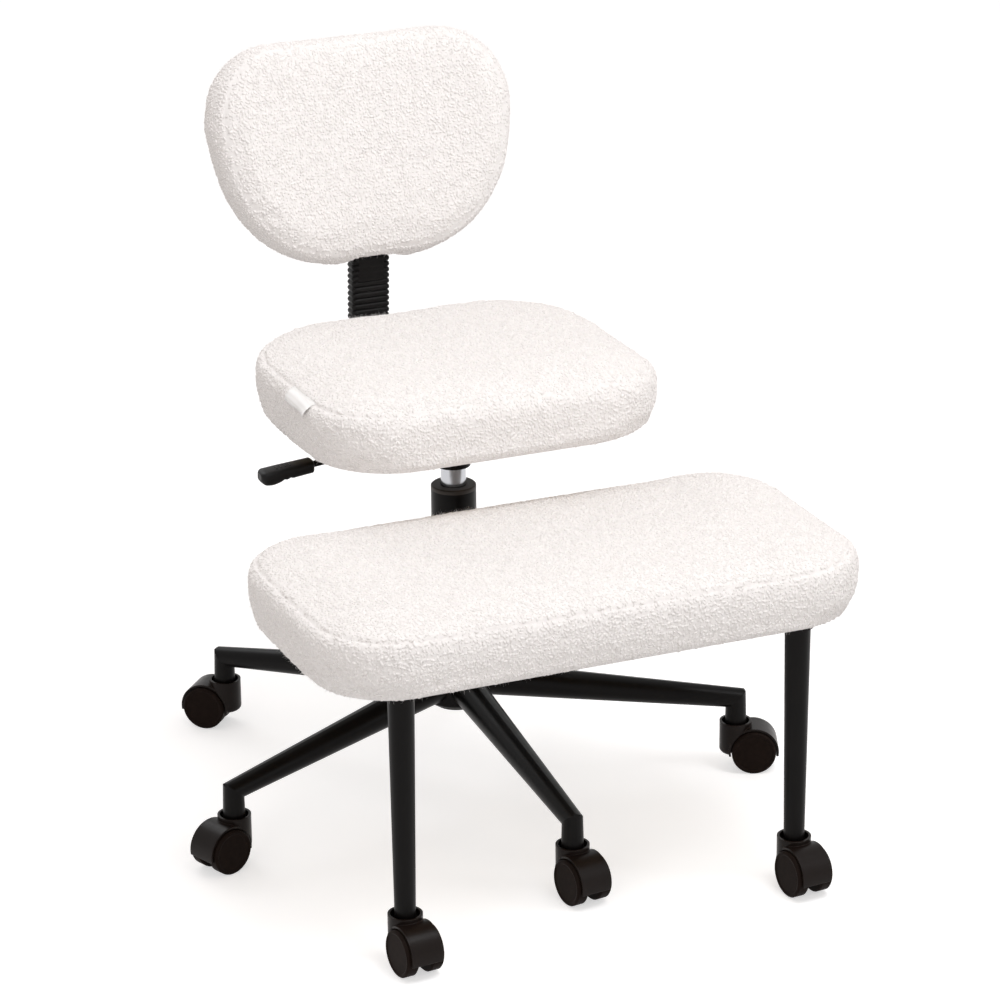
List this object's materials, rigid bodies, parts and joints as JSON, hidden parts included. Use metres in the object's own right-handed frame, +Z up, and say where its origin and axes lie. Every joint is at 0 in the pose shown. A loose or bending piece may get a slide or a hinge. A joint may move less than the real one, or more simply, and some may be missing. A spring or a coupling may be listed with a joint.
{
  "type": "cross-legged office chair",
  "caption": "Low-backed swivel office chair in fleece on a star base with casters, with a wide padded leg platform on its own legs that circles the gas column.",
  "frame": {"origin": "the gas column's axis at floor level", "axes": "+Z up along the gas column, -Y the way the sitter faces, +X to the sitter's left"},
  "size_m": [0.7039, 0.7667, 0.798],
  "materials": {
    "fleece": "matte, curly pile",
    "steel_black": "satin powder coat",
    "chrome": "polished",
    "plastic_black": "satin",
    "nylon": "satin",
    "plywood": "raw",
    "zinc_steel": "zinc plated"
  },
  "bodies": {
    "base": {"base_hub": "steel_black", "base_leg_1": "steel_black", "base_leg_2": "steel_black", "base_leg_3": "steel_black", "base_leg_4": "steel_black", "base_leg_5": "steel_black", "base_sockets": "nylon", "column_tube": "steel_black", "column_bush": "nylon", "thrust_bearing": "zinc_steel", "stop_collar": "steel_black"},
    "spindle": {"piston_rod": "zinc_steel", "column_clip": "zinc_steel"},
    "seat": {"gas_cylinder": "chrome", "seat_plate": "steel_black", "seat_bolts": "zinc_steel", "seat_board": "plywood", "seat_cushion": "fleece"},
    "valve": {"valve_pin": "zinc_steel"},
    "lever": {"lever_rod": "steel_black", "lever_grip": "plastic_black"},
    "back_bar": {"back_bar": "steel_black", "bar_boot": "plastic_black"},
    "knob": {"depth_knob": "plastic_black"},
    "backrest": {"back_cushion": "fleece", "back_board": "plywood", "bar_guide": "nylon", "back_screws": "zinc_steel"},
    "stool": {"stool_cushion": "fleece", "stool_board": "plywood", "stool_arm": "steel_black", "swivel_collar": "steel_black", "collar_bush": "nylon", "stool_leg_left": "steel_black", "stool_leg_right": "steel_black", "leg_flanges": "steel_black", "leg_bolts": "zinc_steel", "stool_sockets": "nylon", "arm_bolts": "zinc_steel"},
    "caster_1": {"caster_1_hood": "plastic_black", "caster_1_pins": "zinc_steel"},
    "caster_1_wheels": {"caster_1_wheels": "plastic_black"},
    "caster_2": {"caster_2_hood": "plastic_black", "caster_2_pins": "zinc_steel"},
    "caster_2_wheels": {"caster_2_wheels": "plastic_black"},
    "caster_3": {"caster_3_hood": "plastic_black", "caster_3_pins": "zinc_steel"},
    "caster_3_wheels": {"caster_3_wheels": "plastic_black"},
    "caster_4": {"caster_4_hood": "plastic_black", "caster_4_pins": "zinc_steel"},
    "caster_4_wheels": {"caster_4_wheels": "plastic_black"},
    "caster_5": {"caster_5_hood": "plastic_black", "caster_5_pins": "zinc_steel"},
    "caster_5_wheels": {"caster_5_wheels": "plastic_black"},
    "caster_6": {"caster_6_hood": "plastic_black", "caster_6_pins": "zinc_steel"},
    "caster_6_wheels": {"caster_6_wheels": "plastic_black"},
    "caster_7": {"caster_7_hood": "plastic_black", "caster_7_pins": "zinc_steel"},
    "caster_7_wheels": {"caster_7_wheels": "plastic_black"}
  },
  "joints": [
    {"name": "seat_swivel", "type": "hinge", "parent": "base", "child": "spindle", "pos_m": [0, 0, 0.3], "axis": [0, 0, 1], "continuous": true},
    {"name": "seat_height", "type": "slide", "parent": "spindle", "child": "seat", "axis": [0, 0, 1], "range_m": [-0.005, 0.085]},
    {"name": "lever_lift", "type": "hinge", "parent": "seat", "child": "lever", "pos_m": [-0.032, -0.00329, 0.41856], "axis": [0, 1, 0], "range_deg": [0, 3], "stiffness_Nm_per_rad": 12, "springref_deg": -2.86},
    {"name": "valve_press", "type": "slide", "parent": "seat", "child": "valve", "axis": [0, 0, -1], "range_m": [0, 0.002]},
    {"name": "back_depth", "type": "slide", "parent": "seat", "child": "back_bar", "axis": [0, 1, 0], "range_m": [-0.024, 0.012]},
    {"name": "knob_turn", "type": "hinge", "parent": "seat", "child": "knob", "pos_m": [0, 0.098, 0.40725], "axis": [0, 0, 1], "continuous": true},
    {"name": "back_height", "type": "slide", "parent": "back_bar", "child": "backrest", "axis": [0, 0.2672, 0.9636], "range_m": [0, 0.05]},
    {"name": "stool_orbit", "type": "hinge", "parent": "base", "child": "stool", "pos_m": [0, 0, 0.28], "axis": [0, 0, 1], "continuous": true},
    {"name": "caster_1_swivel", "type": "hinge", "parent": "base", "child": "caster_1", "pos_m": [0, -0.316, 0.058], "axis": [0, 0, 1], "continuous": true},
    {"name": "caster_1_roll", "type": "hinge", "parent": "caster_1", "child": "caster_1_wheels", "pos_m": [0.00278, -0.33581, 0.025], "axis": [0.9903, 0.1392, 0], "continuous": true},
    {"name": "caster_2_swivel", "type": "hinge", "parent": "base", "child": "caster_2", "pos_m": [0.30053, -0.09765, 0.058], "axis": [0, 0, 1], "continuous": true},
    {"name": "caster_2_roll", "type": "hinge", "parent": "caster_2", "child": "caster_2_wheels", "pos_m": [0.31894, -0.10546, 0.025], "axis": [0.3907, 0.9205, 0], "continuous": true},
    {"name": "caster_3_swivel", "type": "hinge", "parent": "base", "child": "caster_3", "pos_m": [0.18574, 0.25565, 0.058], "axis": [0, 0, 1], "continuous": true},
    {"name": "caster_3_roll", "type": "hinge", "parent": "caster_3", "child": "caster_3_wheels", "pos_m": [0.19574, 0.27297, 0.025], "axis": [-0.866, 0.5, 0], "continuous": true},
    {"name": "caster_4_swivel", "type": "hinge", "parent": "base", "child": "caster_4", "pos_m": [-0.18574, 0.25565, 0.058], "axis": [0, 0, 1], "continuous": true},
    {"name": "caster_4_roll", "type": "hinge", "parent": "caster_4", "child": "caster_4_wheels", "pos_m": [-0.2006, 0.26903, 0.025], "axis": [-0.6691, -0.7431, 0], "continuous": true},
    {"name": "caster_5_swivel", "type": "hinge", "parent": "base", "child": "caster_5", "pos_m": [-0.30053, -0.09765, 0.058], "axis": [0, 0, 1], "continuous": true},
    {"name": "caster_5_roll", "type": "hinge", "parent": "caster_5", "child": "caster_5_wheels", "pos_m": [-0.31921, -0.10482, 0.025], "axis": [0.3584, -0.9336, 0], "continuous": true},
    {"name": "caster_6_swivel", "type": "hinge", "parent": "stool", "child": "caster_6", "pos_m": [-0.222, -0.394, 0.058], "axis": [0, 0, 1], "continuous": true},
    {"name": "caster_6_roll", "type": "hinge", "parent": "caster_6", "child": "caster_6_wheels", "pos_m": [-0.21991, -0.41389, 0.025], "axis": [0.9945, 0.1045, 0], "continuous": true},
    {"name": "caster_7_swivel", "type": "hinge", "parent": "stool", "child": "caster_7", "pos_m": [0.222, -0.394, 0.058], "axis": [0, 0, 1], "continuous": true},
    {"name": "caster_7_roll", "type": "hinge", "parent": "caster_7", "child": "caster_7_wheels", "pos_m": [0.22374, -0.41392, 0.025], "axis": [0.9962, 0.0872, 0], "continuous": true}
  ],
  "couplings": [
    {"joint": "valve_press", "follows": "lever_lift", "m_per_rad": 0.032}
  ]
}
